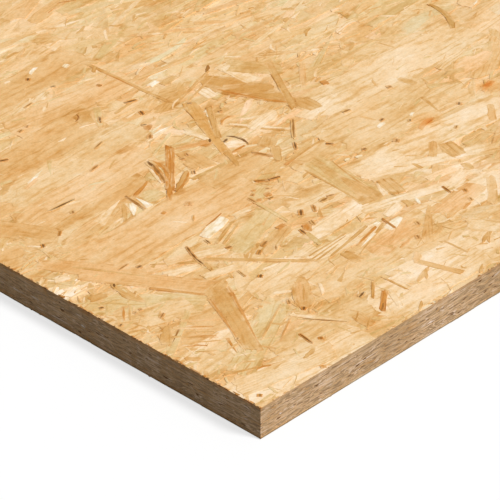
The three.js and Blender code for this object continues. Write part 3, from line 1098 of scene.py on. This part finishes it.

# %% [markdown]
# ## Cracks and dark bits
# The darkest marks are the gaps under raised rims, and bits of bark. The gaps are not hollows
# but dark slivers flush with the face, so their darkness is painted shade. Each mark is a thin
# sliver on a wider and paler flake, so its line needs no shape.

# %% Cracks
crack_shade_and_bark = [
    ("dark head of the upright", (140.5, 231.5), (138, 221), 3.6, "dark"),
    ("dark band below it", (139.5, 226), (134.5, 213), 3.0, "brown"),
    ("tail of the band", (136, 216), (130.5, 205.5), 2.6, "brown"),
    ("crack", (58, 233.5), (81, 232), 1.8, "dark"),
    ("curved crack", (89, 146.5), (85.6, 139), 1.5, "dark"),
    ("curved crack", (86.2, 140.6), (83, 131.6), 1.7, "dark"),
    ("curved crack", (83.4, 133.4), (82, 124.4), 1.9, "dark"),
    ("crack under the tapering strand", (169, 168), (177, 162), 1.8, "brown"),
    ("crack under the tapering strand", (176, 163), (185, 160), 1.8, "dark"),
    ("diagonal stick", (222, 184), (240, 202), 2.0, "brown"),
    ("its lower piece", (214, 174.5), (220, 182), 1.8, "dark"),
    ("dark dash", (192, 193), (199, 179), 2.0, "brown"),
    ("eye of the ringed flake", (189, 213), (194, 214), 3.0, "dark"),
    ("mark", (192.5, 84), (190, 69), 1.3, "brown"),
    ("mark", (245, 82), (243, 72), 1.4, "dark"),
    ("mark", (153, 158), (152.5, 149), 1.8, "brown"),
    ("rusty bit", (162, 152), (167, 151), 3.0, "rust"), ("speck", (156, 157), (159, 158), 1.8, "brown"),
    ("speck", (160, 161), (163, 160), 1.8, "amber"), ("speck", (168, 157), (170, 155), 1.6, "brown"),
    ("speck", (155, 152), (158, 150), 1.8, "amber"), ("speck", (161, 147.5), (165, 147), 1.8, "brown"),
    ("bits of the cluster", (120, 114), (127, 116), 2.4, "brown"),
    ("bits of the cluster", (112, 109.5), (117, 112), 2.0, "brown"),
    ("bits of the cluster", (123, 105.5), (127, 109), 2.0, "brown"),
    ("bits of the cluster", (140, 121), (148, 121), 2.2, "rust"),
    ("bits of the cluster", (149.5, 111), (148, 104), 2.0, "dark"),
    ("bits of the cluster", (159, 107), (161.5, 113), 1.8, "brown"),
    ("bits of the cluster", (170, 117), (175, 124), 2.0, "brown"),
    ("bits of the cluster", (161, 120.5), (166, 125.5), 2.4, "dark"),
    ("bits of the cluster", (180, 123), (187, 122.5), 3.0, "brown"),
    ("bits of the cluster", (187, 124), (193, 122), 1.6, "brown"),
    ("bit", (103, 128), (108, 127), 2.4, "brown"), ("bit", (102, 144), (101, 138), 1.6, "dark"),
    ("bit", (52, 151.5), (56, 150.5), 2.6, "dark"), ("bit", (42, 157), (52, 158), 1.4, "brown"),
    ("bit", (28.5, 146), (31, 149), 2.2, "dark"), ("bit", (29, 206.5), (31.5, 210), 2.0, "dark"),
    ("bit", (44, 209), (49, 213), 1.4, "brown"), ("bit", (67, 221), (69.5, 223.5), 2.4, "brown"),
    ("bit", (68.7, 35), (66.7, 22), 1.5, "dark"), ("bit", (73, 22), (75, 24), 2.2, "brown"),
    ("bit", (91.5, 107), (90, 98), 1.3, "brown"), ("bit", (95, 91.5), (98, 93.5), 2.2, "dark"),
    ("bit", (24, 103.5), (30, 106.5), 1.8, "brown"), ("bit", (2, 115), (5, 115.5), 1.8, "dark"),
    ("bit", (17, 118), (19.5, 118.5), 2.2, "brown"), ("bit", (21.5, 118.5), (24, 118), 1.8, "brown"),
    ("bit", (7, 137), (9.5, 135), 2.0, "dark"), ("bit", (7.5, 8), (10, 10), 2.2, "brown"),
    ("bit", (53, 1), (55, 4), 2.6, "amber"), ("bit", (39, 56.5), (41.5, 57.5), 2.0, "brown"),
    ("bit", (88, 50), (91, 52), 2.2, "dark"), ("bit", (87, 60), (90, 64), 1.8, "brown"),
    ("bit", (120, 35.5), (127, 37.5), 2.2, "dark"), ("bit", (121.5, 177), (126, 180), 3.4, "rust"),
    ("bit", (104, 182), (108, 183), 1.8, "amber"), ("bit", (112, 163), (117, 168), 1.2, "amber"),
    ("bit", (242, 145.5), (245, 143.5), 2.4, "dark"), ("bit", (263, 136), (267, 138), 3.0, "brown"),
    ("bit", (266, 184), (273, 183), 2.6, "brown"), ("bit", (308, 184.5), (312, 183), 2.6, "brown"),
    ("bit", (324, 137.5), (327, 139.5), 2.6, "dark"), ("bit", (287.5, 146), (290, 148), 1.8, "dark"),
    ("bit", (275, 160), (279, 160.5), 2.0, "dark"), ("bit", (231.5, 166.5), (235, 162), 1.8, "dark"),
    ("bit", (301, 120), (305, 122), 1.6, "brown"), ("bit", (283, 218), (288, 216), 3.4, "rust"),
    ("bit", (156, 355), (158.5, 357), 2.2, "dark"), ("bit", (161, 339), (164, 337), 2.0, "dark"),
    ("bit", (152.5, 286), (157, 289.5), 2.0, "dark"), ("bit", (179, 291), (188, 288), 2.0, "dark"),
    ("bit", (109, 313), (113, 314), 2.0, "brown"), ("bit", (116, 314), (119, 315), 1.8, "brown"),
    ("bit", (177.5, 272), (179.5, 277), 2.2, "dark"), ("bit", (128, 265), (138, 268), 1.4, "brown"),
    ("bit", (108, 248), (117, 250), 1.8, "brown"), ("bit", (160, 249), (164, 252), 2.6, "brown"),
    ("bit", (168, 264), (171, 262), 2.0, "dark"), ("bit", (206.5, 262), (209, 260), 1.8, "dark"),
    ("bit", (183, 320), (184.5, 316), 2.0, "brown"), ("bit", (131, 332), (140, 333), 1.4, "brown"),
    ("bit", (157, 219), (158.5, 216), 1.8, "brown"), ("bit", (162, 217), (164, 221), 1.8, "brown"),
    ("bit", (202.5, 62), (204.5, 66), 2.2, "brown"), ("bit", (191, 52), (193.5, 56), 2.2, "brown"),
    ("bit", (250, 66), (252, 70), 2.0, "brown"), ("bit", (245, 57), (247, 61), 1.8, "brown"),
    ("bit", (75, 298), (83, 294), 2.0, "dark"), ("bit", (157, 291), (152, 284), 1.6, "dark"),
    ("bit", (183, 219), (186, 222), 2.4, "dark"), ("bit", (150, 200), (153, 203), 1.8, "dark"),
    ("bit", (213, 241), (216, 240), 1.8, "brown"), ("bit", (74, 69), (72.5, 72), 2.0, "amber"),
]
print("cracks and bits laid by hand:", len(crack_shade_and_bark))

# %% [markdown]
# ## Laying the listed strands
# The lists are turned into strands like those of the random mat. Two strands in one plane
# would show through each other, so where two of them cross, the later one lies a clear step
# higher. The dark marks, painted crack shade and bark, are the highest, just under the face.

# %% Laying the listed strands
lowest_by_hand = 0.30
highest_by_hand = 0.11
clear_step = 0.006
places_tried = 33
halo_depth = 0.044
core_depth = 0.022
dark_mark_step = 0.004
dark_mark_rate = 0.4
halo_width = 1.7
core_width = 0.9


def by_hand(number, cut, start, end, width, colour, depth, rate, lines=0.7, fibre=0.9):
    """A strand from one point to another, in mm from the near corner."""
    first, last = np.array(start) * MM, np.array(end) * MM
    centre, run = (first + last) / 2, last - first
    return Strand(cut, number, near_corner.x + centre[0], near_corner.y + centre[1], math.hypot(*run),
                  width * MM, math.atan2(run[1], run[0]), depth * MM, 0.0, 0.0, colour, lines, rate, fibre)


def depths_by_hand(strands):
    """A depth in mm for each strand, which falls along the list, with a clear step where two cross."""
    shares = np.linspace(0, 1, places_tried)[:, None]
    laid = []
    for strand, depth in zip(strands, np.linspace(lowest_by_hand, highest_by_hand, len(strands))):
        _, _, start, end, width, _ = strand
        line = np.array(start) + (np.array(end) - np.array(start)) * shares
        for line_below, width_below, depth_below in laid:
            apart = np.linalg.norm(line[:, None] - line_below, axis=2).min()
            if apart < (width + width_below) / 2:
                depth = min(depth, depth_below - clear_step)
        laid.append((line, width, depth))
    return [depth for _, _, depth in laid]


def laid_by_hand(rng):
    """All listed strands, from the lowest to the highest."""
    depths = iter(depths_by_hand(broad_strands + small_strands))
    for number, (_, cut, start, end, width, name) in enumerate(broad_strands):
        yield by_hand(number, cut, start, end, width, WOODS[name], next(depths),
                      rng.uniform(0.14, 0.22), lines=0.9, fibre=0.75)
    for number, (_, cut, start, end, width, name) in enumerate(small_strands):
        yield by_hand(number, cut, start, end, width, WOODS[name], next(depths), rng.uniform(0.25, 0.45))
    # Each mark is a paler amber or tan flake with a dark sliver on it: painted shade where it is a crack,
    # and bark where it is bark.
    for number, (_, start, end, width, name) in enumerate(crack_shade_and_bark):
        lower = dark_mark_step * (number % 4)
        halo_wood = WOODS["amber" if number % 3 else "tan"]
        yield by_hand(number, "split", start, end, width * halo_width, halo_wood,
                      halo_depth - lower, dark_mark_rate, lines=0)
        yield by_hand(0, "sliver", start, end, width * core_width, WOODS[name],
                      core_depth - lower, dark_mark_rate, lines=0)


# %% [markdown]
# ## Loose strands of the near corner
# What is left bare is filled at random: middling strands under the listed ones, small
# chips between them, and the brown bits that the saw tore out along the two near arrises.

# %% Loose strands
corner_reach = (400 * MM, 400 * MM)
shavings_reach = (38 * MM, 225 * MM)
long_edge_reach = (330 * MM, 75 * MM)
pale_names = ["pale", "pale", "honey", "straw", "straw", "toast", "toast", "tan"]
shaving_names = ["pale", "honey", "honey", "straw", "straw", "toast", "toast", "tan"]
# The bits on the short edge are darker than those on the long edge: a painted shade line along that arris.
short_edge_shade_names = ["brown", "dark", "amber", "rust"]
long_edge_names = ["toast", "tan", "tan", "amber"]

# How many chips, how far they reach, their woods, their depths in mm, and how freely they turn.
chip_kinds = (
    (1300, corner_reach, pale_names, (0.27, 0.33), 0.6),
    (360, corner_reach, pale_names, (0.235, 0.27), 0.6),
    (170, shavings_reach, shaving_names, (0.12, 0.26), 1.2),
    (150, long_edge_reach, pale_names, (0.12, 0.26), 1.3),
)
print("loose chips:", sum(chip_kind[0] for chip_kind in chip_kinds))


def near_the_corner(strand):
    """True on the part of the top face whose strands are listed."""
    return strand.x < near_corner.x + corner_reach[0] and strand.y < near_corner.y + corner_reach[1]


def corner_place(rng, reach):
    """A place no farther from the near corner than reach."""
    return near_corner.x + rng.uniform(0, reach[0]), near_corner.y + rng.uniform(0, reach[1])


def corner_mat(rng, count):
    """Middling strands under the listed ones."""
    for _ in range(count):
        yield Strand(rng.choice([*mixed, "split"]), pick(rng), *corner_place(rng, corner_reach),
                     rng.uniform(18, 75) * MM, rng.uniform(3, 13) * MM, rng.normal(0, math.radians(22)),
                     rng.uniform(0.31, 0.38) * MM, 0.0, rng.normal(0, 0.004),
                     wood(rng.normal(0.05, 0.32), rng.normal(1, shade_spread),
                          rng.normal(0.1, straw_spread)),
                     rng.uniform(0.2, 1.0), rng.uniform(0.2, 0.45), rng.uniform(0.6, 1.0))


def corner_chips(rng, count, reach, names, depths, turn_spread):
    """Small loose chips."""
    for _ in range(count):
        yield Strand(rng.choice(["wedge", "sliver", "shard", "shard"]), pick(rng),
                     *corner_place(rng, reach), rng.uniform(3, 16) * MM, rng.uniform(0.7, 3.4) * MM,
                     rng.normal(0, turn_spread),
                     rng.uniform(*depths) * MM, 0.0, rng.normal(0, 0.006),
                     WOODS[rng.choice(names)], 0.4, 0.4, 0.8)


def torn_bits(rng, short_count, long_count):
    """Brown bits along the two near arrises, where the saw tore the face strands. Those on the short edge
    are darker: a painted shade line along that arris.
    """
    for number in range(short_count + long_count):
        on_short = number < short_count
        in_from_edge, along_edge = rng.uniform(-0.5, 0.9) * MM, rng.uniform(0, corner_reach[0])
        x, y = (in_from_edge, along_edge) if on_short else (along_edge, in_from_edge)
        yield Strand("shard", pick(rng), near_corner.x + x, near_corner.y + y,
                     rng.uniform(1.2, 5) * MM, rng.uniform(0.6, 1.8) * MM,
                     rng.normal(math.pi / 2 if on_short else 0, 0.35), rng.uniform(0.02, 0.06) * MM,
                     0.0, rng.normal(0, 0.02),
                     WOODS[rng.choice(short_edge_shade_names if on_short else long_edge_names)], 0.2, 0.4, 0.8)


# %% [markdown]
# ## Laying the top face
# The random mat and the strands of the corner are laid together. They are shared out over
# several pieces, each as long as the board, so that no mesh grows too heavy. The two
# numbers after each layer are the gaps of its grid in mm, along and across the board.

# %% Top face
corner_count = 520
torn_counts = (150, 60)
top_pieces = 8
top_rng = np.random.default_rng(seed=2024)
top_mat = [*mat_strands(top_rng, base, 50, 17), *arris_strands(top_rng)]
loose_mat = [*mat_strands(top_rng, over, 44, 27), *mat_strands(top_rng, crossing, 60, 50),
             *splinters(top_rng, 40, 36)]
top_mat += [strand for strand in loose_mat if not near_the_corner(strand)]
top_mat += [*corner_mat(top_rng, corner_count), *laid_by_hand(top_rng)]
for chip_kind in chip_kinds:
    top_mat += corner_chips(top_rng, *chip_kind)
top_mat += torn_bits(top_rng, *torn_counts)
lay_pieces("top_strands", top_side, top_mat, top_pieces, top_rng, face_wood, arris_skin_and_shade_wood)

# %% [markdown]
# ## Laying the underside
# The underside is the same kind of mat. It is never the show face, so it has fewer small
# strands and none of the listed ones.

# %% Underside
under_pieces = 4
under_rng = np.random.default_rng(seed=31)
under_mat = [*mat_strands(under_rng, base, 58, 19), *mat_strands(under_rng, over, 70, 45),
             *mat_strands(under_rng, crossing, 95, 80), *splinters(under_rng, 80, 70),
             *arris_strands(under_rng)]
lay_pieces("under_strands", under_side, under_mat, under_pieces, under_rng, face_wood, low_arris_skin_and_shade_wood)

# %% [markdown]
# ## Sawn edges
# The saw leaves the ends and flanks of every layer of strands in view, as flat lenses that
# lie over each other, with dark hollows where they don't meet. So each edge gets rows of
# thin slivers, set at slightly different depths in front of the darker inside slab, and small
# dark dashes flush with them, which are painted shade of the gaps.

# %% Sawn edges
short_share = 0.8
sliver_margin = 0.5 * MM
gap_shade_margin = 3.5 * MM
up = Vector((0, 0, 1))
outward_ways = {"front": (0, -1, 0), "back": (0, 1, 0), "left": (-1, 0, 0), "right": (1, 0, 0)}


def edge_side(out):
    """The side of the board that faces out, with its length and its height."""
    along = up.cross(out)
    origin = middle + Vector((out.x * panel_size.x / 2, out.y * panel_size.y / 2, 0))
    length = abs(along.x) * panel_size.x + abs(along.y) * panel_size.y
    return Side(origin, along, up, out), (length, panel_size.z)


def edge_slivers(rng, size, gap_x, gap_y):
    """Sawn ends: most are short, and the long ones lie flatter. None reaches past the arrises."""
    for x, y in grid_places(rng, size, gap_x * MM, gap_y * MM):
        short = rng.random() < short_share
        length = rng.uniform(2, 9) if short else rng.uniform(9, 32)
        turn = rng.normal(0, math.radians(11 if short else 3))
        rise = length * MM * abs(math.sin(turn)) / 2
        if size[1] / 2 - sliver_margin - abs(y) - rise >= 0:
            yield Strand("dash", pick(rng), x, y, length * MM, rng.uniform(0.5, 1.9) * MM, turn,
                         rng.uniform(0.02, 0.18) * MM, 0.0, rng.normal(0, 0.03),
                         wood(rng.normal(0.05, 0.36), rng.normal(1.0, 0.04)),
                         0.2, 0.4, rng.uniform(0.3, 0.7))


def edge_gap_shade(rng, size, gap_x, gap_y):
    """Small dark dashes in the middle of the edge, flush with the slivers: painted shade of the gaps where
    the strands don't quite meet.
    """
    for x, y in grid_places(rng, size, gap_x * MM, gap_y * MM):
        if abs(y) < size[1] / 2 - gap_shade_margin:
            yield Strand("dash", pick(rng), x, y, rng.uniform(1.5, 6) * MM, rng.uniform(0.6, 1.5) * MM,
                         rng.normal(0, math.radians(12)), rng.uniform(0.002, 0.018) * MM, 0.0, 0.0,
                         WOODS["dark"], 0.0, 0.4, 0.3)


edge_rng = np.random.default_rng(seed=77)
for edge_name, way in outward_ways.items():
    side, size = edge_side(Vector(way))
    ends = [*edge_slivers(edge_rng, size, 9, 0.9), *edge_gap_shade(edge_rng, size, 28, 5)]
    lay(f"sawn_edge_{edge_name}", side, ends, 0, edge_rng, edge_wood, edge_wood)

# %% [markdown]
# ## Size and finish
# The dressed panel must fill the same box as the slab.

# %% Finish
{"cad": [list(cad_low), list(cad_high)], "visual": [list(corner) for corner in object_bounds()]}
